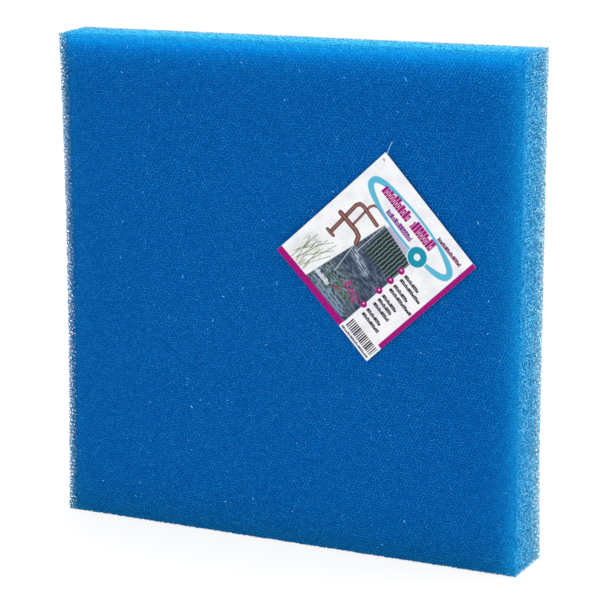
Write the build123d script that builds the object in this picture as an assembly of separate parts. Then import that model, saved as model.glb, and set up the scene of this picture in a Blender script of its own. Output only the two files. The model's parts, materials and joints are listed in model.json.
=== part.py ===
from build123d import *
import os
from math import cos, radians, sin

# A filter foam mat standing on its bottom edge, with a card label hung on a clear tag pin.
# Millimetres. X runs along the mat, +Y towards its back and +Z up. The origin is the centre
# of the mat's bottom face. The label hangs in front of the front face, on the -Y side.

# Mat
foam_width = 500.0
foam_thickness = 50.0
foam_height = 500.0
front_y = -foam_thickness / 2

# Tag pin: one nylon moulding, modelled in two rigid pieces because it flexes at the face
filament_radius = 0.4
entry_x = 117.8
entry_z = 410.3
pin_depth = 22.0
shank_stub = 0.3
bar_length = 9.5
bar_radius = 0.6
channel_gap = 0.05
pocket_gap = 0.25

# Thread: the free stretch of the filament, measured out of the front face and down from the pin
thread_run = 18.7
thread_lean = 24.7
thread_stand_off = 1.0
bend_radius = 0.6

# Card, trapped between the filament behind it and the paddle in front of it
card_width = 139.0
card_height = 151.0
card_thickness = 0.4
card_turn = 47.7
card_gap = 0.15
hole_radius = 1.25
hole_from_left = 4.2
hole_from_top = 6.0

# Paddle: the flat head of the pin, lying on the card's front
paddle_length = 7.5
paddle_width = 4.4
paddle_thickness = 0.9
paddle_drop = 1.0

card_back = thread_stand_off + filament_radius + card_gap
card_front = card_back + card_thickness
paddle_middle = card_front + card_gap + paddle_thickness / 2


def face_frame(x, z, turn):
    """Frame in the mat's front face: x across, y up, z out of the face, turned clockwise."""
    across = (cos(radians(turn)), 0, -sin(radians(turn)))
    return Plane(origin=(x, front_y, z), x_dir=across, z_dir=(0, -1, 0))


def pin_frame():
    """Frame at the pin's entry, with the thread running along -y."""
    return face_frame(entry_x, entry_z, thread_lean)


def card_frame():
    """Frame at the card's hole, with the card's top edge along x."""
    hole = pin_frame().from_local_coords((0, -thread_run, 0))
    return face_frame(hole.X, hole.Z, card_turn)


def foam_block():
    """Mat with the needle's channel and the round pocket in which the pin's bar turns."""
    standing = (Align.CENTER, Align.CENTER, Align.MIN)
    block = Box(foam_width, foam_thickness, foam_height, align=standing)
    channel = Cylinder(filament_radius + channel_gap, pin_depth, align=(Align.CENTER, Align.CENTER, Align.MAX))
    pocket = Cylinder(bar_length / 2 + pocket_gap, 2 * (bar_radius + pocket_gap))
    cut = channel + Pos(0, 0, -pin_depth) * pocket
    return block - pin_frame() * cut


def tag_pin_anchor():
    """Cross bar and buried shank, which turn together in the mat."""
    shank = Cylinder(filament_radius, pin_depth + shank_stub, align=(Align.CENTER, Align.CENTER, Align.MIN))
    bar = Rot(0, 90, 0) * Cylinder(bar_radius, bar_length)
    bar = fillet(bar.edges(), bar_radius / 2)
    return pin_frame() * Pos(0, 0, -pin_depth) * (shank + bar)


def tag_pin_thread():
    """Free filament from the face, down behind the card, through its hole and into the paddle."""
    start = (0, 0, thread_stand_off)
    behind = (0, -thread_run, thread_stand_off)
    through = (0, -thread_run, paddle_middle)
    end = (0, -thread_run - paddle_drop - paddle_width / 2, paddle_middle)
    route = FilletPolyline(start, behind, through, end, radius=bend_radius)
    section = Plane(origin=start, z_dir=(0, -1, 0)) * Circle(filament_radius)
    filament = sweep(section, path=route)
    ball = Pos(start) * Sphere(filament_radius)
    outline = Rot(0, 0, 90) * SlotOverall(paddle_length, paddle_width)
    paddle = extrude(outline, amount=paddle_thickness / 2, both=True)
    paddle_at = Pos(0, -thread_run - paddle_drop - paddle_length / 2, paddle_middle)
    return pin_frame() * (filament + ball + paddle_at * paddle)


def label_card():
    """Printed card, hung by the hole near its top left corner."""
    middle = Pos(card_width / 2 - hole_from_left, hole_from_top - card_height / 2)
    outline = middle * Rectangle(card_width, card_height) - Circle(hole_radius)
    card = extrude(outline, amount=card_thickness)
    return card_frame() * Pos(0, 0, card_back) * card


os.makedirs("parts", exist_ok=True)
for piece in (foam_block, tag_pin_anchor, tag_pin_thread, label_card):
    export_step(piece(), f"parts/{piece.__name__}.step")
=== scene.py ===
import json
from itertools import product
from math import cos, radians, sin, sqrt

import bmesh
import bpy
import numpy as np
from mathutils import Euler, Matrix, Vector
from mathutils.geometry import delaunay_2d_cdt


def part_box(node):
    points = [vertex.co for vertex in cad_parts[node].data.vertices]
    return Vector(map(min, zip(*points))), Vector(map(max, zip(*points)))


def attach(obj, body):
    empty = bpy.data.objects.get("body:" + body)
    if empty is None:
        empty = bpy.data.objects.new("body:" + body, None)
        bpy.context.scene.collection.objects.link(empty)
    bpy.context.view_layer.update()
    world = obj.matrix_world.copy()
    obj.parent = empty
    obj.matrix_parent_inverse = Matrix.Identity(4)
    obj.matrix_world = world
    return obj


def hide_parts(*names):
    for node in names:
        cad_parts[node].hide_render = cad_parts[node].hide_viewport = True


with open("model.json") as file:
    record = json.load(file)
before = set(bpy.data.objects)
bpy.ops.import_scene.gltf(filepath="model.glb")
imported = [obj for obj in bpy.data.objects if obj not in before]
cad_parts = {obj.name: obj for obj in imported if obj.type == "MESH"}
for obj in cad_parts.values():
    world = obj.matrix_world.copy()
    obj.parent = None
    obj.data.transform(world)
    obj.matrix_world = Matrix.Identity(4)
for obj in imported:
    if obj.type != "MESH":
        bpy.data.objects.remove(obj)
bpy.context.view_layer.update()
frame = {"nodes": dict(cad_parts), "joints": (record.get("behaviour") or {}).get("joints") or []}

# Square filter foam mat with a card label hung on a clear tag pin. Lengths are in millimetres in
# this script, in the row frame, and MM turns them into metres when a mesh is made.
MM = 0.001

low, high = (np.array(corner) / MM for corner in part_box("foam_block"))
WIDTH, THICKNESS, HEIGHT = high - low
HALF = (high - low) / 2
MIDDLE = (high + low) / 2

# Open-cell foam: pitch is the distance between the middles of neighbouring pores on a cut face, and
# cell the size of a whole cell. The jitters are shares of those two. The dense core starts behind
# cells on the top and the two sides, and behind the skin alone on the big faces and the bottom. The
# cuts are how far whole cells reach along the edges that light comes through, the bevels how far the
# core stays back there, and the overlap how far cells reach into the core.
PITCH = 3.4
ROW_STEP = 0.866 * PITCH
PORE_JITTER = 0.3
CELL = 5.0
CELL_TURN = (0.5, 0.35, 0.8)
CELL_JITTER = 0.1
STRUT_RADIUS = 0.29
SKIN_RADIUS = 0.40
SKIN_DEPTH = 1.1
CORE_INSET = np.array([4.0, 2.4, 3.0])
CORE_FOOT = 0.15
UPRIGHT_CUT = (9.5, 17.0)
UPRIGHT_BEVEL = (5.0, 13.0)
LEVEL_CUT = (4.5, 8.0)
LEVEL_BEVEL = (1.6, 4.5)
CELL_OVERLAP = 0.8
STRUTS_PER_PIECE = 30000
STRUT_SHADE = "strut_shade"

# How far the mat's soft shape moves points at most: the bow of its left side, the lean of its back
# right side, the splay of its back bottom right corner, and small shifts near its top and left
BOW = 3.6
LEFT_SWELL = 0.8
BACK_LEAN = 3.8
SPLAY_BACK = 8.0
SPLAY_UP = 4.5
TOP_RISE = 1.0
TOP_LEFT_DROP = 2.0


# ---------------------------------------------------------------- foam shape

def closeness(distance, reach):
    """1 at no distance, falling off smoothly to 0 at the reach."""
    return np.clip(1 - distance / reach, 0, 1) ** 2


def soften(points):
    """The mat's gentle sag: its left side bows in, and its back bottom right corner splays."""
    p = np.array(points, float)
    up = np.clip((p[:, 2] - MIDDLE[2]) / HALF[2], -1, 1)
    from_right = np.clip((high[0] - p[:, 0]) / WIDTH, 0, 1)
    near_back = np.clip((p[:, 1] - low[1]) / THICKNESS, 0, 1)
    near_right = closeness(high[0] - p[:, 0], 160)
    near_bottom = closeness(p[:, 2] - low[2], 160)
    near_left = closeness(p[:, 0] - low[0], 120)
    near_top = closeness(high[2] - p[:, 2], 60)
    splay = near_right * near_bottom * near_back
    p[:, 0] += BOW * (1 - up ** 2) * from_right ** 3 - LEFT_SWELL * near_left
    p[:, 0] += BACK_LEAN * near_right * near_back
    p[:, 1] += SPLAY_BACK * splay
    p[:, 2] += SPLAY_UP * splay + TOP_RISE * near_back * near_top
    p[:, 2] -= TOP_LEFT_DROP * near_left * near_top * (1 - near_back)
    return p


def new_mesh(name, vertices, faces_per, loops, material, smooth=True):
    """A mesh object from vertices in millimetres, whose faces all have the same number of corners."""
    count = len(loops) // faces_per
    mesh = bpy.data.meshes.new(name)
    mesh.vertices.add(len(vertices))
    mesh.vertices.foreach_set("co", (np.asarray(vertices) * MM).astype(np.float32).ravel())
    mesh.loops.add(len(loops))
    mesh.loops.foreach_set("vertex_index", np.asarray(loops, np.int32))
    mesh.polygons.add(count)
    mesh.polygons.foreach_set("loop_start", np.arange(0, len(loops), faces_per, dtype=np.int32))
    mesh.polygons.foreach_set("use_smooth", np.full(count, smooth))
    mesh.materials.append(material)
    mesh.update(calc_edges=True)
    piece = bpy.data.objects.new(name, mesh)
    bpy.context.scene.collection.objects.link(piece)
    return piece


def strut_piece(name, starts, ends, radii, material, rng):
    """Three-sided struts, a little longer than the gaps they span, with a shade at each end."""
    axis = ends - starts
    length = np.linalg.norm(axis, axis=1, keepdims=True)
    axis = axis / length
    starts = starts - axis * radii[:, None] * 0.4
    ends = ends + axis * radii[:, None] * 0.4
    helper = np.where(np.abs(axis[:, 2:3]) < 0.8, [[0.0, 0.0, 1.0]], [[1.0, 0.0, 0.0]])
    side = np.cross(axis, helper)
    side /= np.linalg.norm(side, axis=1, keepdims=True)
    other = np.cross(axis, side)
    turn = rng.uniform(0, 2 * np.pi, len(starts))
    rings = []
    for end in (starts, ends):
        for corner in range(3):
            angle = (turn + corner * 2 * np.pi / 3)[:, None]
            rings.append(end + radii[:, None] * (side * np.cos(angle) + other * np.sin(angle)))
    vertices = np.stack(rings, axis=1).reshape(-1, 3)
    quads = np.array([(0, 1, 4, 3), (1, 2, 5, 4), (2, 0, 3, 5)])
    loops = (np.arange(len(starts))[:, None, None] * 6 + quads[None]).ravel()
    piece = new_mesh(name, vertices, 4, loops, material)
    shade = piece.data.attributes.new(STRUT_SHADE, "FLOAT", "POINT")
    shade.data.foreach_set("value", np.repeat(rng.random(2 * len(starts)), 3).astype(np.float32))
    return piece


def strut_pieces(name, starts, ends, radii, material, seed):
    """Struts softened with the mat and shared out over pieces of a manageable size."""
    rng = np.random.default_rng(seed)
    long_enough = np.linalg.norm(ends - starts, axis=1) > 0.12
    starts, ends, radii = soften(starts[long_enough]), soften(ends[long_enough]), radii[long_enough]
    order = np.argsort(starts[:, 2] + 0.0001 * starts[:, 0])
    parts = max(1, int(np.ceil(len(order) / STRUTS_PER_PIECE)))
    pieces = []
    for number, chosen in enumerate(np.array_split(order, parts), start=1):
        label = f"{name}_{number}"
        pieces.append(strut_piece(label, starts[chosen], ends[chosen], radii[chosen], material, rng))
    return pieces


def circle_middles(a, b, c):
    """Middles of the circles through triangles' corners, where the edges of Voronoi cells meet."""
    bc, ca, ab = b - c, c - a, a - b
    aa, bb, cc = ((q ** 2).sum(1) for q in (a, b, c))
    d = 2 * (a[:, 0] * bc[:, 1] + b[:, 0] * ca[:, 1] + c[:, 0] * ab[:, 1])
    x = (aa * bc[:, 1] + bb * ca[:, 1] + cc * ab[:, 1]) / d
    y = -(aa * bc[:, 0] + bb * ca[:, 0] + cc * ab[:, 0]) / d
    return np.stack([x, y], axis=1)


def pore_network(width, height, rng):
    """Pore outlines on a flat sheet: the edges of the Voronoi cells of jittered points."""
    columns = int(width / PITCH) + 6
    rows = int(height / ROW_STEP) + 6
    i, j = np.meshgrid(np.arange(columns), np.arange(rows), indexing="ij")
    x = (i + 0.5 * (j % 2) - 2.5) * PITCH
    y = (j - 2.5) * ROW_STEP
    shift = rng.uniform(-PORE_JITTER, PORE_JITTER, (columns * rows, 2)) * PITCH
    points = np.stack([x, y], -1).reshape(-1, 2) + shift
    found = delaunay_2d_cdt([tuple(point) for point in points], [], [], 0, 1e-7)
    points = np.array([tuple(vertex) for vertex in found[0]])
    triangles = np.array([face for face in found[2] if len(face) == 3])
    a, b, c = (points[triangles[:, k]] for k in range(3))
    corners = circle_middles(a, b, c)
    sides = np.concatenate([triangles[:, [0, 1]], triangles[:, [1, 2]], triangles[:, [2, 0]]])
    owner = np.tile(np.arange(len(triangles)), 3)
    key = np.sort(sides, axis=1) @ np.array([len(points), 1])
    order = np.argsort(key, kind="stable")
    same = key[order][1:] == key[order][:-1]
    pairs = np.stack([owner[order][:-1][same], owner[order][1:][same]], axis=1)
    return corners, pairs


def clip_to_box(starts, ends, inset=0.0):
    """Shortens segments that leave the mat's box, and drops those wholly outside it."""
    lower, upper = low + inset, high - inset
    delta = ends - starts
    delta = np.where(np.abs(delta) < 1e-9, 1e-9, delta)
    t1, t2 = (lower - starts) / delta, (upper - starts) / delta
    enter = np.clip(np.minimum(t1, t2).max(axis=1), 0, 1)
    leave = np.clip(np.maximum(t1, t2).min(axis=1), 0, 1)
    kept = leave - enter > 0.02
    enter, leave = enter[kept, None], leave[kept, None]
    s, d = starts[kept], delta[kept]
    return s + d * enter, s + d * leave, kept


FACES = {
    "front": (1, -1),
    "back": (1, 1),
    "left": (0, -1),
    "right": (0, 1),
    "bottom": (2, -1),
    "top": (2, 1),
}

# How thin the skin gets towards each face's edges
EDGE_FINENESS = {"front": 0.8, "back": 0.4, "left": 0.3, "right": 0.85, "bottom": 0.9, "top": 0.5}


def skin(face, material, seed):
    """The cut face of the foam: a network of pore outlines that dips in and out of the face."""
    axis, sign = FACES[face]
    across, up = (k for k in range(3) if k != axis)
    rng = np.random.default_rng(seed)
    size = high - low
    corners, pairs = pore_network(size[across], size[up], rng)
    place = np.zeros((len(corners), 3))
    place[:, across] = corners[:, 0] + low[across]
    place[:, up] = corners[:, 1] + low[up]
    depth = SKIN_RADIUS * 0.6 + SKIN_DEPTH * rng.random(len(corners)) ** 1.5
    face_at = high[axis] if sign > 0 else low[axis]
    place[:, axis] = face_at - sign * depth
    starts, ends, kept = clip_to_box(place[pairs[:, 0]], place[pairs[:, 1]], STRUT_RADIUS * 0.8)
    from_edge = np.delete(from_faces((starts + ends) / 2), axis, axis=1).min(axis=1)
    finest = EDGE_FINENESS[face]
    finer = finest + (1 - finest) * np.clip(from_edge / 14, 0, 1)
    radii = SKIN_RADIUS * finer * rng.uniform(0.75, 1.25, len(starts))
    return strut_pieces(f"foam_{face}_skin", starts, ends, radii, material, seed + 50)


def kelvin_cell():
    """Corners of the foam cell in one unit cube and the 24 struts that start in it."""
    corners = []
    for half_at in range(3):
        for quarter_at in range(3):
            if half_at == quarter_at:
                continue
            for quarter in (0.25, 0.75):
                corner = [0.0, 0.0, 0.0]
                corner[half_at] = 0.5
                corner[quarter_at] = quarter
                corners.append(corner)
    corners = np.array(corners)
    strut_length = sqrt(2) / 4
    next_cube = (-1, 0, 1)
    struts = []
    for first, dx, dy, dz, second in product(range(12), next_cube, next_cube, next_cube, range(12)):
        step = corners[second] + (dx, dy, dz) - corners[first]
        if abs(np.linalg.norm(step) - strut_length) < 1e-6 and tuple(step) > (0, 0, 0):
            struts.append((first, second, dx, dy, dz))
    return corners, np.array(struts)


def from_faces(points):
    """Distance of each point from the nearer face, along each axis."""
    return HALF - np.abs(points - MIDDLE)


def in_open_zone(points):
    """True on the top and the two sides, and along the edges that light comes through."""
    d = from_faces(points)
    upright = d[:, 0] / UPRIGHT_CUT[0] + d[:, 1] / UPRIGHT_CUT[1]
    front_right = (points[:, 0] > MIDDLE[0]) & (points[:, 1] < MIDDLE[1])
    upright = np.where(front_right, np.inf, upright)
    level = d[:, 2] / LEVEL_CUT[0] + d[:, 1] / LEVEL_CUT[1]
    corner = d[:, 0] / UPRIGHT_CUT[0] + d[:, 2] / LEVEL_CUT[0]
    upper = points[:, 2] > MIDDLE[2]
    level = np.where(upper, np.minimum(level, corner), np.inf)
    near_top = upper & (d[:, 2] < CORE_INSET[2] + CELL_OVERLAP)
    near_side = d[:, 0] < CORE_INSET[0] + CELL_OVERLAP
    return (np.minimum(upright, level) < 1.15) | near_side | near_top


def edge_lattice(material, seed):
    """Real open cells in three dimensions on the top, the two sides and the open edges."""
    rng = np.random.default_rng(seed)
    corners, struts = kelvin_cell()
    turn = np.array(Euler(CELL_TURN).to_matrix())
    axes = [np.arange(low[k] - 1, high[k] + 1.5, 1.7) for k in range(3)]
    samples = np.stack(np.meshgrid(*axes, indexing="ij"), -1).reshape(-1, 3)
    samples = samples[in_open_zone(samples)]
    cells = np.unique(np.floor((samples - MIDDLE) @ turn / CELL).astype(int), axis=0)
    base = cells.min(axis=0) - 2
    shape = cells.max(axis=0) - base + 3
    count = int(np.prod(shape)) * 12
    jitter = rng.normal(0, CELL_JITTER, (count, 3)).astype(np.float32)

    def place(cell, corner):
        local = cell - base
        index = ((local[:, 0] * shape[1] + local[:, 1]) * shape[2] + local[:, 2]) * 12 + corner
        flat = (cell + corners[corner] + jitter[index]) * CELL
        return flat @ turn.T + MIDDLE

    first = np.repeat(cells, len(struts), axis=0)
    tiled = np.tile(struts, (len(cells), 1))
    starts = place(first, tiled[:, 0])
    ends = place(first + tiled[:, 2:5], tiled[:, 1])
    middle = (starts + ends) / 2
    kept = in_open_zone(middle)
    starts, ends, _ = clip_to_box(starts[kept], ends[kept], STRUT_RADIUS * 0.8)
    radii = STRUT_RADIUS * rng.uniform(0.8, 1.15, len(starts))
    return strut_pieces("foam_edge_cells", starts, ends, radii, material, seed + 50)


def cut_away(bm, is_chosen, along, across):
    """Bevels the chosen edges, by a different amount along the big faces than across the mat."""
    squeeze = along / across
    bmesh.ops.scale(bm, vec=(1, squeeze, 1), verts=bm.verts)
    chosen = [edge for edge in bm.edges if is_chosen(*(vertex.co for vertex in edge.verts))]
    bmesh.ops.bevel(bm, geom=chosen, offset=along, segments=2, profile=0.5, affect="EDGES")
    bmesh.ops.scale(bm, vec=(1, 1 / squeeze, 1), verts=bm.verts)


def foam_core(material):
    """The dense inside of the mat, set back behind the open skin with its open edges cut away."""
    bm = bmesh.new()
    bmesh.ops.create_cube(bm, size=2)
    half = HALF - CORE_INSET
    half[2] = (HEIGHT - CORE_INSET[2] - CORE_FOOT) / 2
    middle = MIDDLE + (0, 0, (CORE_FOOT - CORE_INSET[2]) / 2)
    bmesh.ops.scale(bm, vec=tuple(half), verts=bm.verts)
    cut_away(bm, lambda a, b: abs(a.z - b.z) > 1 and not (a.x > 0 and a.y < 0), *UPRIGHT_BEVEL)
    cut_away(bm, lambda a, b: min(a.z, b.z) > half[2] - 0.01, *LEVEL_BEVEL)
    for axis in range(3):
        cuts = 5 if axis == 1 else 30
        for k in range(1, cuts):
            at = [0.0, 0.0, 0.0]
            normal = [0.0, 0.0, 0.0]
            at[axis] = (2 * k / cuts - 1) * (half[axis] - 1)
            normal[axis] = 1.0
            everything = list(bm.verts) + list(bm.edges) + list(bm.faces)
            bmesh.ops.bisect_plane(bm, geom=everything, plane_co=at, plane_no=normal)
    bmesh.ops.recalc_face_normals(bm, faces=bm.faces)
    points = soften(np.array([v.co[:] for v in bm.verts]) + middle)
    for vertex, point in zip(bm.verts, points):
        vertex.co = Vector(point) * MM
    mesh = bpy.data.meshes.new("foam_core")
    bm.to_mesh(mesh)
    bm.free()
    mesh.materials.append(material)
    piece = bpy.data.objects.new("foam_core", mesh)
    bpy.context.scene.collection.objects.link(piece)
    return piece


# ---------------------------------------------------------------- the card

CARD_WIDTH = 139.0
CARD_HEIGHT = 151.0
CARD_BACK = 1.55
CARD_THICKNESS = 0.4
CARD_TURN = radians(47.7)
CARD_HOLE = (4.2, 6.0)
HOLE_RADIUS = 1.25
CARD_CURL = 7.0
CARD_MAP = "card_millimetres"


def joint_place(name):
    """Where a joint sits, in millimetres."""
    found = next(joint for joint in frame["joints"] if joint["name"] == name)
    return np.array(found["pos_m"]) / MM


def card_points(uv, stand_off):
    """Places in the row frame of points given across and down the card from its top left corner."""
    uv = np.asarray(uv, float)
    across = np.array([cos(CARD_TURN), 0, -sin(CARD_TURN)])
    down = np.array([-sin(CARD_TURN), 0, -cos(CARD_TURN)])
    toward_free_corner = uv[:, 1] / CARD_HEIGHT - uv[:, 0] / CARD_WIDTH
    lift = CARD_CURL * np.clip(toward_free_corner, 0, 1) ** 2
    hole = joint_place("card_swing")
    hole[1] = low[1]
    flat = (uv[:, :1] - CARD_HOLE[0]) * across + (uv[:, 1:2] - CARD_HOLE[1]) * down
    return hole + flat + (stand_off + lift)[:, None] * np.array([0, -1, 0])


def label_card(front_material, plain_material):
    """The card: a thin sheet with its hole, whose free corner curls away from the foam."""
    columns, rows = 24, 26
    across = [CARD_WIDTH * i / columns for i in range(columns + 1)]
    down = [CARD_HEIGHT * j / rows for j in range(rows + 1)]
    grid = [(u, v) for u in across for v in down]
    clear = HOLE_RADIUS * 1.6
    grid = [p for p in grid if (p[0] - CARD_HOLE[0]) ** 2 + (p[1] - CARD_HOLE[1]) ** 2 > clear ** 2]
    around = np.linspace(0, 2 * np.pi, 25)[:-1]
    ring = [(CARD_HOLE[0] + HOLE_RADIUS * cos(a), CARD_HOLE[1] + HOLE_RADIUS * sin(a)) for a in around]
    found = delaunay_2d_cdt(grid + ring, [], [], 0, 1e-7)
    uv = np.array([tuple(v) for v in found[0]])
    triangles = np.array(found[2])
    middles = uv[triangles].mean(axis=1)
    outside = ((middles - CARD_HOLE) ** 2).sum(1) > (HOLE_RADIUS * 0.97) ** 2
    triangles = triangles[outside]
    a, b, c = (uv[triangles[:, k]] for k in range(3))
    area = (b[:, 0] - a[:, 0]) * (c[:, 1] - a[:, 1]) - (b[:, 1] - a[:, 1]) * (c[:, 0] - a[:, 0])
    triangles = np.where((area > 0)[:, None], triangles, triangles[:, ::-1])
    front = card_points(uv, np.full(len(uv), CARD_BACK + CARD_THICKNESS))
    back = card_points(uv, np.full(len(uv), CARD_BACK))
    sides = np.concatenate([triangles[:, [0, 1]], triangles[:, [1, 2]], triangles[:, [2, 0]]])
    directed = {tuple(side) for side in sides.tolist()}
    rim = [side for side in directed if side[::-1] not in directed]
    n = len(uv)
    faces = [tuple(t[::-1]) for t in triangles.tolist()]
    printed = len(faces)
    faces += [tuple(v + n for v in t) for t in triangles.tolist()]
    faces += [(i, j, j + n, i + n) for i, j in rim]
    mesh = bpy.data.meshes.new("label_sheet")
    mesh.from_pydata([tuple(p) for p in np.concatenate([front, back]) * MM], [], faces)
    mesh.materials.append(front_material)
    mesh.materials.append(plain_material)
    mesh.polygons.foreach_set("material_index", [0] * printed + [1] * (len(faces) - printed))
    layer = mesh.uv_layers.new(name=CARD_MAP)
    corner = np.empty(len(mesh.loops), np.int32)
    mesh.loops.foreach_get("vertex_index", corner)
    layer.data.foreach_set("uv", np.concatenate([uv, uv])[corner].astype(np.float32).ravel())
    mesh.update(calc_edges=True)
    piece = bpy.data.objects.new("label_sheet", mesh)
    bpy.context.scene.collection.objects.link(piece)
    return piece


# ---------------------------------------------------------------- materials

class Nodes:
    """Short names for building a material's node tree."""

    def __init__(self, name):
        self.material = bpy.data.materials.new(name)
        self.material.use_nodes = True
        self.tree = self.material.node_tree
        self.shader = self.tree.nodes["Principled BSDF"]

    def add(self, kind, **settings):
        node = self.tree.nodes.new(kind)
        for key, value in settings.items():
            setattr(node, key, value)
        return node

    def feed(self, socket, value):
        if isinstance(value, bpy.types.NodeSocket):
            self.tree.links.new(value, socket)
        else:
            socket.default_value = value

    def math(self, operation, a, b=0.0, c=0.0, clamp=False):
        node = self.add("ShaderNodeMath", operation=operation, use_clamp=clamp)
        for socket, value in zip(node.inputs, (a, b, c)):
            self.feed(socket, value)
        return node.outputs[0]

    def mix(self, amount, a, b, blend="MIX"):
        node = self.add("ShaderNodeMix", data_type="RGBA", blend_type=blend)
        self.feed(node.inputs[0], amount)
        self.feed(node.inputs[6], a)
        self.feed(node.inputs[7], b)
        return node.outputs[2]

    def ramp(self, value, low_at, high_at, low_value=0.0, high_value=1.0, smooth=True):
        node = self.add("ShaderNodeMapRange", clamp=True)
        node.interpolation_type = "SMOOTHSTEP" if smooth else "LINEAR"
        for socket, number in zip(node.inputs, (value, low_at, high_at, low_value, high_value)):
            self.feed(socket, number)
        return node.outputs[0]

    def noise(self, vector, scale, detail=3.0, roughness=0.55):
        node = self.add("ShaderNodeTexNoise")
        self.feed(node.inputs["Vector"], vector)
        node.inputs["Scale"].default_value = scale
        node.inputs["Detail"].default_value = detail
        node.inputs["Roughness"].default_value = roughness
        return node.outputs[0]

    def voronoi(self, vector, scale, feature="F1", output="Distance"):
        node = self.add("ShaderNodeTexVoronoi", feature=feature)
        self.feed(node.inputs["Vector"], vector)
        node.inputs["Scale"].default_value = scale
        return node.outputs[output]

    def bump(self, height, strength, distance):
        node = self.add("ShaderNodeBump")
        node.inputs["Strength"].default_value = strength
        node.inputs["Distance"].default_value = distance
        self.feed(node.inputs["Height"], height)
        self.feed(self.shader.inputs["Normal"], node.outputs[0])

    def object_place(self):
        """Place on the object in metres, and its three separate coordinates."""
        vector = self.add("ShaderNodeTexCoord").outputs["Object"]
        apart = self.add("ShaderNodeSeparateXYZ")
        self.feed(apart.inputs[0], vector)
        return vector, apart.outputs


def linear(red, green, blue):
    """An 8-bit display colour as the linear colour that a shader takes."""
    values = []
    for channel in (red, green, blue):
        value = channel / 255
        values.append(value / 12.92 if value <= 0.04045 else ((value + 0.055) / 1.055) ** 2.4)
    return (*values, 1.0)


# Foam colours: the dense middle; painted light that makes it lighter towards the top, where light
# comes through at the sides and paler along the back edges; painted shade that makes it darker and
# tealer towards the bottom; and painted glints. BLUE_SHARE is how much of a shade the blue takes.
DENSE_BLUE = (0.0015, 0.145, 0.502, 1)
UPPER_BLUE = (0.0018, 0.228, 0.670, 1)
NEAR_TOP_BLUE = (0.0022, 0.355, 0.850, 1)
TOP_BLUE = (0.018, 0.450, 0.790, 1)
FOOT_SHADE_TEAL = (0.0018, 0.112, 0.170, 1)
RIGHT_BLUE = (0.003, 0.370, 0.800, 1)
LEFT_TEAL = (0.018, 0.315, 0.480, 1)
LEFT_BLUE = (0.006, 0.310, 0.690, 1)
BACKLIT_PALE_BLUE = (0.170, 0.430, 0.610, 1)
STRUT_LIGHT = (0.013, 0.062, 0.045, 1)
GLINT = (0.30, 0.75, 1.0, 1)
SIDE_GLINT = (0.26, 0.78, 1.0, 1)
BLUE_SHARE = 0.6


def shaded(nodes, colour, shade):
    """The colour made darker or lighter, its blue less than the rest."""
    spread = nodes.add("ShaderNodeCombineXYZ")
    blue_shade = nodes.math("MULTIPLY_ADD", shade, BLUE_SHARE, 1 - BLUE_SHARE)
    for socket, value in zip(spread.inputs, (shade, shade, blue_shade)):
        nodes.feed(socket, value)
    return nodes.mix(1.0, colour, spread.outputs[0], "MULTIPLY")


def mottle(nodes, vector):
    """Uneven light over a few pores."""
    return nodes.ramp(nodes.noise(vector, 210, 3), 0.3, 0.7, 0.93, 1.07)


def near_face(nodes, place, face, reach):
    """1 on that face of the mat, falling off over about reach millimetres into it."""
    axis, sign = FACES[face]
    face_at = float(high[axis] if sign > 0 else low[axis]) * MM
    inward = nodes.math("MULTIPLY_ADD", place[axis], sign / (reach * MM), -sign * face_at / (reach * MM))
    return nodes.math("EXPONENT", inward, clamp=True)


def narrow_sides(nodes, place, reach):
    """1 on the two narrow upright sides, falling off into the mat and towards its front face."""
    result = 0.0
    for face, front_reach in (("right", 6.0), ("left", 14.0)):
        behind_front = nodes.math("SUBTRACT", 1.0, near_face(nodes, place, "front", front_reach))
        side = nodes.math("MULTIPLY", near_face(nodes, place, face, reach), behind_front)
        result = nodes.math("MAXIMUM", side, result)
    return result


def foam_colour(nodes, place, reach):
    """Deep blue with painted light where light gets in and painted shade at the foot, and how near the
    lit faces it is.
    """
    # Painted light: lighter towards the top, where light gets in.
    top = near_face(nodes, place, "top", 10.5)
    ramp = nodes.add("ShaderNodeValToRGB")
    stops = ramp.color_ramp.elements
    stops[0].color = DENSE_BLUE
    stops[1].color = TOP_BLUE
    stops.new(0.2).color = UPPER_BLUE
    stops.new(0.45).color = NEAR_TOP_BLUE
    nodes.feed(ramp.inputs[0], top)
    # Painted shade: darker and tealer towards the bottom.
    foot = near_face(nodes, place, "bottom", 17.0)
    colour = nodes.mix(nodes.math("MULTIPLY", foot, 0.5), ramp.outputs[0], FOOT_SHADE_TEAL)
    # Painted light: lighter where light comes through at the two narrow sides.
    right = near_face(nodes, place, "right", reach)
    colour = nodes.mix(nodes.math("MULTIPLY", right, 0.95), colour, RIGHT_BLUE)
    left = near_face(nodes, place, "left", reach * 0.6)
    left_colour = nodes.mix(near_face(nodes, place, "front", 10.0), LEFT_BLUE, LEFT_TEAL)
    colour = nodes.mix(nodes.math("MULTIPLY", left, 0.9), colour, left_colour)
    # Painted light: paler along the back edges of the top and the right side, where light comes through.
    back = near_face(nodes, place, "back", 15.0)
    at_right, at_top = near_face(nodes, place, "right", 7.0), near_face(nodes, place, "top", 4.0)
    beside = nodes.math("MAXIMUM", at_right, at_top)
    light = nodes.math("MAXIMUM", nodes.math("MAXIMUM", top, right), left)
    return nodes.mix(nodes.math("MULTIPLY", back, beside), colour, BACKLIT_PALE_BLUE), light


def foam_finish(nodes, roughness, shine):
    """A soft plastic skin whose reflections take the foam's own blue."""
    nodes.shader.inputs["Roughness"].default_value = roughness
    nodes.shader.inputs["Specular IOR Level"].default_value = shine
    nodes.shader.inputs["Specular Tint"].default_value = (0.08, 0.45, 1.0, 1)


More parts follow.
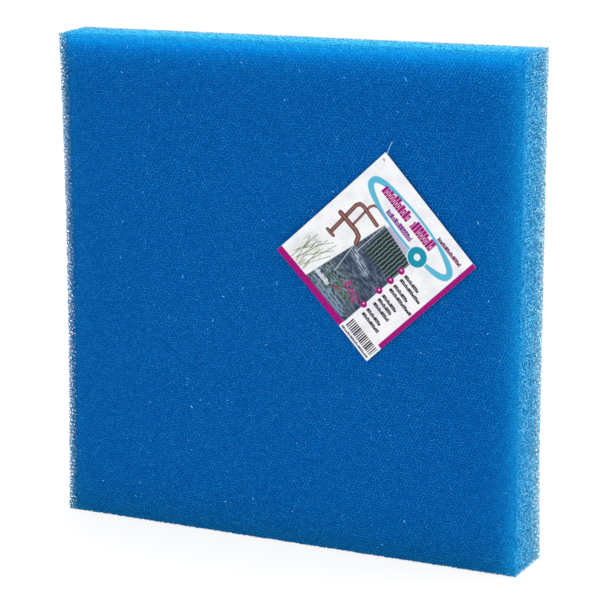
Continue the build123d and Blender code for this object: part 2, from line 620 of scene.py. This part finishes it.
def strut_material():
    """Blue plastic skeleton, uneven along its struts, with painted glints at a few ends and painted
    light and shade on the narrow sides and the top back ridge.
    """
    nodes = Nodes("foam_strut_blue")
    vector, place = nodes.object_place()
    colour, _ = foam_colour(nodes, place, 9.5)
    own = nodes.add("ShaderNodeAttribute", attribute_name=STRUT_SHADE).outputs["Fac"]
    shade = nodes.ramp(own, 0.1, 0.9, 0.93, 1.31, smooth=False)
    shade = nodes.math("MULTIPLY", mottle(nodes, vector), shade)
    colour = shaded(nodes, colour, shade)
    colour = nodes.mix(nodes.ramp(own, 0.4, 0.95, 0.1, 1.0), colour, STRUT_LIGHT, "ADD")
    side = narrow_sides(nodes, place, 5.0)
    at_top, at_back = near_face(nodes, place, "top", 3.0), near_face(nodes, place, "back", 25.0)
    ridge = nodes.math("MULTIPLY", at_top, at_back)
    side = nodes.math("MAXIMUM", side, nodes.math("MULTIPLY", ridge, 0.6))
    # Painted shade: the darker struts on the narrow sides and the top back ridge.
    painted_shade = nodes.math("MULTIPLY", side, nodes.ramp(own, 0.15, 0.5, 0.3, 0.0))
    colour = nodes.mix(painted_shade, colour, (0.0, 0.02, 0.06, 1))
    # Painted light: the paler, lit struts there.
    lit = nodes.math("MULTIPLY", side, nodes.ramp(own, 0.5, 0.8, 0.0, 1.0))
    colour = nodes.mix(lit, colour, SIDE_GLINT)
    # Painted glints at a few strut ends.
    colour = nodes.mix(nodes.ramp(own, 0.968, 0.988, 0.0, 0.9), colour, GLINT)
    nodes.feed(nodes.shader.inputs["Base Color"], colour)
    foam_finish(nodes, 0.5, 0.06)
    return nodes.material


def core_material():
    """Deeper layers of the same skeleton, with painted shade that keeps them a little darker than the
    struts in front of them.
    """
    nodes = Nodes("foam_core_blue")
    vector, place = nodes.object_place()
    lit, light = foam_colour(nodes, place, 12.0)
    edge = nodes.voronoi(vector, 1000 / PITCH, "DISTANCE_TO_EDGE")
    strut = nodes.ramp(edge, 0.04, 0.16, 1.0, 0.0)
    deeper = nodes.voronoi(vector, 1350 / PITCH, "DISTANCE_TO_EDGE")
    second = nodes.ramp(deeper, 0.04, 0.16, 0.7, 0.0)
    both = nodes.math("MAXIMUM", strut, second)
    # Painted shade: the pores between these deeper struts are darker.
    shade = nodes.ramp(both, 0.0, 1.0, 0.75, 0.92, smooth=False)
    # Painted light: lighter near the lit faces.
    shade = nodes.math("MULTIPLY_ADD", light, 0.25, shade)
    side = narrow_sides(nodes, place, 9.0)
    # Painted shade on the two narrow sides.
    shade = nodes.math("MULTIPLY", shade, nodes.ramp(side, 0.0, 1.0, 1.0, 0.9, smooth=False))
    shade = nodes.math("MULTIPLY", shade, mottle(nodes, vector))
    nodes.feed(nodes.shader.inputs["Base Color"], shaded(nodes, lit, shade))
    foam_finish(nodes, 0.7, 0.05)
    nodes.bump(both, 0.3, 0.001)
    return nodes.material


def nylon_material():
    """Clear nylon of the tag pin: a bluish filament that ends in a whiter, milky paddle."""
    nodes = Nodes("clear_nylon")
    vector, _ = nodes.object_place()
    cloud = nodes.noise(vector, 600, 2)
    filament = nodes.mix(cloud, (0.20, 0.54, 0.86, 1), (0.30, 0.66, 0.95, 1))
    step = nodes.add("ShaderNodeVectorMath", operation="DISTANCE")
    nodes.feed(step.inputs[0], vector)
    nodes.feed(step.inputs[1], tuple(joint_place("pin_swing") * MM))
    at_paddle = nodes.ramp(step.outputs["Value"], 0.0165, 0.0180)
    colour = nodes.mix(at_paddle, filament, (0.95, 0.96, 0.97, 1))
    nodes.feed(nodes.shader.inputs["Base Color"], colour)
    nodes.shader.inputs["Roughness"].default_value = 0.25
    nodes.shader.inputs["Transmission Weight"].default_value = 0.25
    nodes.shader.inputs["IOR"].default_value = 1.53
    return nodes.material


# ---------------------------------------------------------------- print on the card

class Print(Nodes):
    """Paint on the card in millimetres: u runs along its top edge, v down from it."""

    def __init__(self, name):
        super().__init__(name)
        uv = self.add("ShaderNodeUVMap")
        uv.uv_map = CARD_MAP
        self.place = uv.outputs[0]
        apart = self.add("ShaderNodeSeparateXYZ")
        self.feed(apart.inputs[0], self.place)
        self.u, self.v = apart.outputs[0], apart.outputs[1]
        self.colour = None

    def vector(self, operation, a, b=(0, 0, 0)):
        node = self.add("ShaderNodeVectorMath", operation=operation)
        self.feed(node.inputs[0], a)
        self.feed(node.inputs[1], b)
        return node

    def paint(self, mask, colour):
        self.colour = self.mix(mask, self.colour, colour)

    def both(self, *masks):
        result = masks[0]
        for mask in masks[1:]:
            result = self.math("MULTIPLY", result, mask)
        return result

    def inside(self, distance, soft=0.25):
        return self.ramp(distance, -soft, soft, 1.0, 0.0)

    def slab(self, value, start, end):
        """Distance outside the range from start to end."""
        off = self.math("ABSOLUTE", self.math("SUBTRACT", value, (start + end) / 2))
        return self.math("SUBTRACT", off, (end - start) / 2)

    def rectangle(self, u0, u1, v0, v1, soft=0.25):
        far = self.math("MAXIMUM", self.slab(self.u, u0, u1), self.slab(self.v, v0, v1))
        return self.inside(far, soft)

    def away_from(self, centre):
        step = self.vector("SUBTRACT", self.place, (*centre, 0)).outputs[0]
        return self.vector("LENGTH", step).outputs["Value"]

    def disc(self, centre, radius, soft=0.3):
        return self.inside(self.math("SUBTRACT", self.away_from(centre), radius), soft)

    def along(self, a, b):
        """Distance from the straight line between two points."""
        line = np.subtract(b, a)
        scale = 1 / float((line ** 2).sum())
        step = self.vector("SUBTRACT", self.place, (*a, 0)).outputs[0]
        share = self.vector("DOT_PRODUCT", step, (line[0] * scale, line[1] * scale, 0)).outputs["Value"]
        share = self.math("ADD", share, 0.0, clamp=True)
        foot = self.vector("SCALE", (float(line[0]), float(line[1]), 0))
        self.feed(foot.inputs["Scale"], share)
        rest = self.vector("SUBTRACT", step, foot.outputs[0]).outputs[0]
        return self.vector("LENGTH", rest).outputs["Value"]

    def above_line(self, slope, start, value, base):
        """Distance of value past the line start + slope * base."""
        edge = self.math("MULTIPLY_ADD", base, slope, start)
        return self.math("SUBTRACT", value, edge)

    def ring(self, centre, radii, width):
        """An oval outline, of the width given by a value."""
        step = self.vector("SUBTRACT", self.place, (*centre, 0)).outputs[0]
        unit = self.vector("DIVIDE", step, (*radii, 1)).outputs[0]
        slope = self.vector("DIVIDE", unit, (*radii, 1)).outputs[0]
        size = self.vector("LENGTH", unit).outputs["Value"]
        steep = self.vector("LENGTH", slope).outputs["Value"]
        over = self.math("MULTIPLY", size, self.math("SUBTRACT", size, 1.0))
        distance = self.math("ABSOLUTE", self.math("DIVIDE", over, steep))
        return self.inside(self.math("MULTIPLY_ADD", width, -0.5, distance), 0.5)

    def scaled(self, scale_u, scale_v, turn=0.0):
        node = self.add("ShaderNodeMapping")
        self.feed(node.inputs["Vector"], self.place)
        node.inputs["Rotation"].default_value = (0, 0, turn)
        node.inputs["Scale"].default_value = (scale_u, scale_v, 1)
        return node.outputs[0]

    def chance(self, value):
        """A fixed random number for each whole number."""
        node = self.add("ShaderNodeTexWhiteNoise", noise_dimensions="1D")
        self.feed(node.inputs["W"], self.math("FLOOR", value))
        return node.outputs["Value"]

    def blocks(self, u0, u1, top, bottom, pitch):
        """A line of heavy upright blocks of uneven height, some with a slot, that spells nothing."""
        step = self.math("MULTIPLY", self.u, 1 / pitch)
        own = self.chance(step)
        height = bottom - top
        block_top = self.ramp(own, 0.35, 0.65, top, top + 0.27 * height)
        off = self.math("ABSOLUTE", self.math("SUBTRACT", self.math("FRACT", step), 0.5))
        off = self.math("MULTIPLY", off, pitch)
        sides = self.math("SUBTRACT", off, 0.46 * pitch)
        above, below = self.math("SUBTRACT", block_top, self.v), self.math("SUBTRACT", self.v, bottom)
        ends = self.math("MAXIMUM", above, below)
        block = self.inside(self.math("MAXIMUM", sides, ends), 0.15)
        slot_at = top + 0.62 * height
        slot_ends = self.slab(self.v, slot_at - 0.16 * height, slot_at + 0.16 * height)
        slot_sides = self.math("SUBTRACT", off, 0.08 * pitch)
        slot = self.inside(self.math("MAXIMUM", slot_sides, slot_ends), 0.15)
        slotted = self.math("GREATER_THAN", self.math("FRACT", self.math("MULTIPLY", own, 7.0)), 0.4)
        solid = self.math("SUBTRACT", 1.0, self.math("MULTIPLY", slot, slotted))
        return self.both(block, solid, self.inside(self.slab(self.u, u0, u1), 0.1))

    def stripes(self, u0, u1, v0, v1, pitch):
        """Upright stripes of uneven width."""
        step = self.math("MULTIPLY", self.u, 1 / pitch)
        width = self.ramp(self.chance(step), 0.0, 1.0, 0.4, 0.85, smooth=False)
        ink = self.math("LESS_THAN", self.math("FRACT", step), width)
        return self.both(self.rectangle(u0, u1, v0, v1), ink)


MAGENTA = linear(166, 6, 124)
AQUA = linear(92, 188, 220)
TEAL = linear(20, 150, 178)
INK = linear(30, 24, 44)
PIPE_BROWN = linear(94, 46, 44)
REED = linear(96, 108, 52)


def print_reeds(p):
    """Fine green blades that fan out of the card's lower edge."""
    blade = p.noise(p.scaled(1.0, 0.1, 0.35), 1.0, 3, 0.6)
    tuft = p.both(p.inside(p.slab(p.v, 112, 145), 8.0), p.inside(p.slab(p.u, 8, 32), 6.0))
    p.paint(p.both(tuft, p.ramp(blade, 0.46, 0.62, 0, 0.75)), linear(132, 146, 84))
    for a, b in (
        ((14, 143), (15, 108)), ((20, 143), (12, 116)), ((18, 140), (26, 104)), ((24, 143), (19, 112)),
        ((26, 143), (35, 100)), ((22, 132), (37, 106)), ((30, 143), (27, 116)), ((16, 128), (31, 101)),
        ((28, 138), (39, 112)), ((11, 138), (22, 110)),
    ):
        reed = p.inside(p.math("SUBTRACT", p.along(a, b), 0.3), 0.4)
        p.paint(p.both(reed, p.ramp(blade, 0.3, 0.5, 0.5, 1.0)), REED)


def print_water(p):
    """Colour of the pond: dark ripples, slats at its head and a splash of light."""
    ripple = p.noise(p.scaled(0.14, 0.42, 0.5), 1.0, 6, 0.72)
    water = p.mix(p.ramp(ripple, 0.36, 0.7), linear(26, 40, 62), linear(120, 138, 162))
    broad = p.noise(p.scaled(0.05, 0.05), 1.0, 2)
    water = p.mix(p.ramp(broad, 0.35, 0.65, 0, 0.6), water, linear(46, 60, 82))
    wave = p.noise(p.scaled(0.10, 0.22), 1.0, 2)
    wave = p.math("SINE", p.math("MULTIPLY_ADD", wave, 5.0, p.math("MULTIPLY", p.u, 1.72)))
    slat = p.mix(p.ramp(wave, 0.35, 0.9), linear(32, 50, 54), linear(122, 142, 142))
    decked = p.both(p.inside(p.slab(p.v, 40, 80), 5.0), p.inside(p.slab(p.u, 55, 97), 4.0))
    water = p.mix(decked, water, slat)
    streak = p.noise(p.scaled(0.12, 0.7, 0.15), 1.0, 3)
    splash = p.inside(p.math("SUBTRACT", p.along((50, 89), (73, 94)), 3.0), 3.5)
    return p.mix(p.both(splash, p.ramp(streak, 0.42, 0.58)), water, linear(196, 208, 232)), ripple


def print_plants(p, water):
    """Leaves and flowers at the pond's near end."""
    leafy = p.noise(p.scaled(0.25, 0.5, -0.6), 1.0, 4, 0.7)
    plants = p.mix(p.ramp(leafy, 0.4, 0.66), linear(30, 46, 62), linear(150, 174, 188))
    green = p.ramp(p.noise(p.scaled(0.1, 0.1), 1.0, 2), 0.5, 0.62, 0, 0.6)
    plants = p.mix(green, plants, linear(84, 106, 74))
    near = p.both(p.inside(p.slab(p.v, 112, 146), 9.0), p.inside(p.slab(p.u, 34, 84), 9.0))
    water = p.mix(near, water, plants)
    petals = p.voronoi(p.scaled(0.3, 0.3), 1.0)
    for a, b, radius in (
        ((70, 116), (84, 119), 4.0), ((66, 129), (67, 130), 2.4), ((86, 122), (87, 126), 1.6),
    ):
        spray = p.inside(p.math("SUBTRACT", p.along(a, b), radius), 2.0)
        bloom = p.both(spray, p.ramp(petals, 0.35, 0.6, 1, 0))
        water = p.mix(bloom, water, linear(186, 44, 132))
    return water


def print_pond(p):
    """A dark pond with slats, ripples, reeds and flowers, and lines across it."""
    pool = p.math("MAXIMUM", p.slab(p.u, 0, 95.5), p.slab(p.v, 0, 144.6))
    left = p.above_line(-0.15, 58.6, p.u, p.v)
    top = p.above_line(0.08, 43.0, p.v, p.u)
    pool = p.math("MAXIMUM", pool, p.math("MULTIPLY", left, -1.0))
    pool = p.math("MAXIMUM", pool, p.math("MULTIPLY", top, -1.0))
    water, ripple = print_water(p)
    p.paint(p.rectangle(55, 90, 43.5, 49.5, 1.2), linear(186, 182, 210))
    p.paint(p.inside(pool, 0.5), print_plants(p, water))
    print_reeds(p)
    for a, b in (((52.3, 46), (52.2, 87)), ((49.5, 60), (46, 86)), ((46, 86), (52, 118))):
        p.paint(p.inside(p.math("SUBTRACT", p.along(a, b), 0.35), 0.35), linear(200, 208, 214))
    p.paint(p.blocks(38, 58, 129.5, 134.5, 2.9), linear(214, 222, 232))
    for u0, u1, v in ((60, 84, 135.5), (42, 88, 138.8), (50, 90, 142)):
        p.paint(p.blocks(u0, u1, v - 1.0, v + 1.0, 1.9), linear(128, 154, 186))


def print_pipe(p, points, radius):
    """A round brown pipe along some points, with a light line along it."""
    distance = p.along(points[0], points[1])
    for a, b in zip(points[1:], points[2:]):
        distance = p.math("MINIMUM", distance, p.along(a, b))
    shade = p.mix(p.ramp(distance, 0.0, radius * 0.85), linear(160, 112, 104), PIPE_BROWN)
    p.paint(p.inside(p.math("SUBTRACT", distance, radius), 0.35), shade)


def print_words(p):
    """Blocks and bullets where a label has its heading and its lines of text."""
    p.paint(p.blocks(24.5, 63, 17, 28.2, 3.5), MAGENTA)
    p.paint(p.blocks(68, 98.5, 17, 28.2, 3.5), MAGENTA)
    p.paint(p.blocks(43, 79, 32.4, 38.2, 3.0), linear(132, 62, 150))
    p.paint(p.blocks(95, 128, 9.8, 13.8, 2.3), linear(112, 20, 92))
    for v in (63, 78, 94, 116):
        p.paint(p.disc((95.2, v), 3.5), MAGENTA)
        p.paint(p.disc((94.6, v - 0.5), 0.9), linear(244, 206, 232))
    for v, end in (
        (63, 121), (69, 130), (78, 121), (84, 133), (94, 121),
        (100, 120), (106.5, 123), (116, 121), (122.5, 125),
    ):
        p.paint(p.blocks(100.5, end, v - 2.0, v + 1.6, 2.2), INK)


def printed_material():
    """The front of the card: a generic print, with blocks where a label has words."""
    p = Print("printed_card")
    tone = p.noise(p.scaled(0.05, 0.05), 1.0, 3)
    p.colour = p.mix(p.ramp(tone, 0.4, 0.7), linear(252, 253, 255), linear(236, 237, 245))
    print_pond(p)
    print_pipe(p, ((30.6, 72), (28.8, 48), (30.4, 43.4), (34.5, 41.2), (49.8, 42)), 1.3)
    print_pipe(p, ((21.4, 96), (18.8, 57.5), (20.6, 53.6), (24.5, 52.4), (46.6, 53.8)), 2.1)
    print_pipe(p, ((17.3, 96.4), (25.8, 96.0)), 1.7)
    print_pipe(p, ((14, 75), (37, 74.4), (42.8, 76), (46, 82.3)), 2.5)
    thick = p.ramp(p.math("ABSOLUTE", p.math("SUBTRACT", p.u, 70)), 20, 56, 2.6, 6.4)
    p.paint(p.ring((70, 28.5), (58, 14), thick), AQUA)
    p.paint(p.disc((95, 41.1), 10.8), linear(238, 244, 248))
    p.paint(p.disc((95, 41.1), 10.0), TEAL)
    p.paint(p.disc((95, 41.1), 3.4), linear(238, 244, 248))
    print_words(p)
    p.paint(p.rectangle(0, 95, 144.3, 151.2), MAGENTA)
    p.paint(p.rectangle(134, 139.2, 0, 130.6), MAGENTA)
    p.paint(p.stripes(98, 137, 134, 145, 2.2), INK)
    p.paint(p.blocks(97, 137, 147, 149.4, 2.4), linear(96, 92, 104))
    inked = p.mix(1.0, p.colour, (0.81, 0.81, 0.81, 1), "MULTIPLY")
    p.feed(p.shader.inputs["Base Color"], inked)
    p.shader.inputs["Roughness"].default_value = 0.35
    p.shader.inputs["Specular IOR Level"].default_value = 0.1
    return p.material


def card_stock_material():
    """The card's unprinted back and edges."""
    nodes = Nodes("card_stock")
    vector, _ = nodes.object_place()
    fibre = nodes.noise(vector, 900, 4)
    colour = nodes.mix(fibre, (0.72, 0.72, 0.71, 1), (0.86, 0.86, 0.85, 1))
    nodes.feed(nodes.shader.inputs["Base Color"], colour)
    nodes.shader.inputs["Roughness"].default_value = 0.6
    return nodes.material


# ---------------------------------------------------------------- the mat

foam_strut = strut_material()
foam_pieces = [foam_core(core_material())]
for number, face in enumerate(FACES):
    foam_pieces += skin(face, foam_strut, 100 + number)
foam_pieces += edge_lattice(foam_strut, 200)

for piece in foam_pieces:
    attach(piece, "mat")
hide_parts("foam_block")

nylon = nylon_material()
for name in ("tag_pin_anchor", "tag_pin_thread"):
    frame["nodes"][name].data.materials.clear()
    frame["nodes"][name].data.materials.append(nylon)

card = label_card(printed_material(), card_stock_material())
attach(card, "card")
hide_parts("label_card")


# ---------------------------------------------------------------- studio

def area_light(name, at, toward, size, power):
    """A soft, plain white, square light of that side, aimed at a point."""
    data = bpy.data.lights.new(name, "AREA")
    data.shape = "SQUARE"
    data.size = size
    data.energy = power
    light = bpy.data.objects.new(name, data)
    light.location = at
    light.rotation_euler = (Vector(toward) - Vector(at)).to_track_quat("-Z", "Y").to_euler()
    bpy.context.scene.collection.objects.link(light)


def studio():
    """A plain white lit table under even, soft light, with a stronger light over the mat's top."""
    floor_material = Nodes("studio_floor")
    floor_material.shader.inputs["Base Color"].default_value = (0.22, 0.22, 0.22, 1)
    floor_material.shader.inputs["Roughness"].default_value = 0.9
    floor_material.shader.inputs["Emission Color"].default_value = (1, 1, 1, 1)
    floor_material.shader.inputs["Emission Strength"].default_value = 0.78
    corners = np.array([(-4, -4, 0), (4, -4, 0), (4, 4, 0), (-4, 4, 0)]) / MM
    floor = new_mesh("studio_floor", corners, 4, np.arange(4), floor_material.material, smooth=False)
    world = bpy.data.worlds.new("studio")
    world.use_nodes = True
    background = world.node_tree.nodes["Background"]
    background.inputs["Color"].default_value = (1, 1, 1, 1)
    background.inputs["Strength"].default_value = 1.0
    bpy.context.scene.world = world
    middle = (0, 0, 0.3)
    area_light("key", (0.6, -2.2, 1.6), middle, 1.6, 10)
    area_light("top", (0.5, 0.7, 2.0), middle, 1.4, 28)
    area_light("right", (2.0, 0.4, 1.0), middle, 1.2, 10)


def camera():
    """The photograph's view: a little to the right of the front face and a little above it."""
    azimuth, elevation = radians(26.488), radians(11.892)
    back = Vector((sin(azimuth) * cos(elevation), -cos(azimuth) * cos(elevation), sin(elevation)))
    data = bpy.data.cameras.new("camera")
    data.sensor_width = 36
    data.lens = 133.47
    data.clip_end = 20
    item = bpy.data.objects.new("camera", data)
    item.location = (0.9671, -1.9244, 0.6961)
    item.rotation_euler = back.to_track_quat("Z", "Y").to_euler()
    bpy.context.scene.collection.objects.link(item)
    bpy.context.scene.camera = item


studio()
camera()
bpy.context.scene.view_settings.view_transform = "Standard"
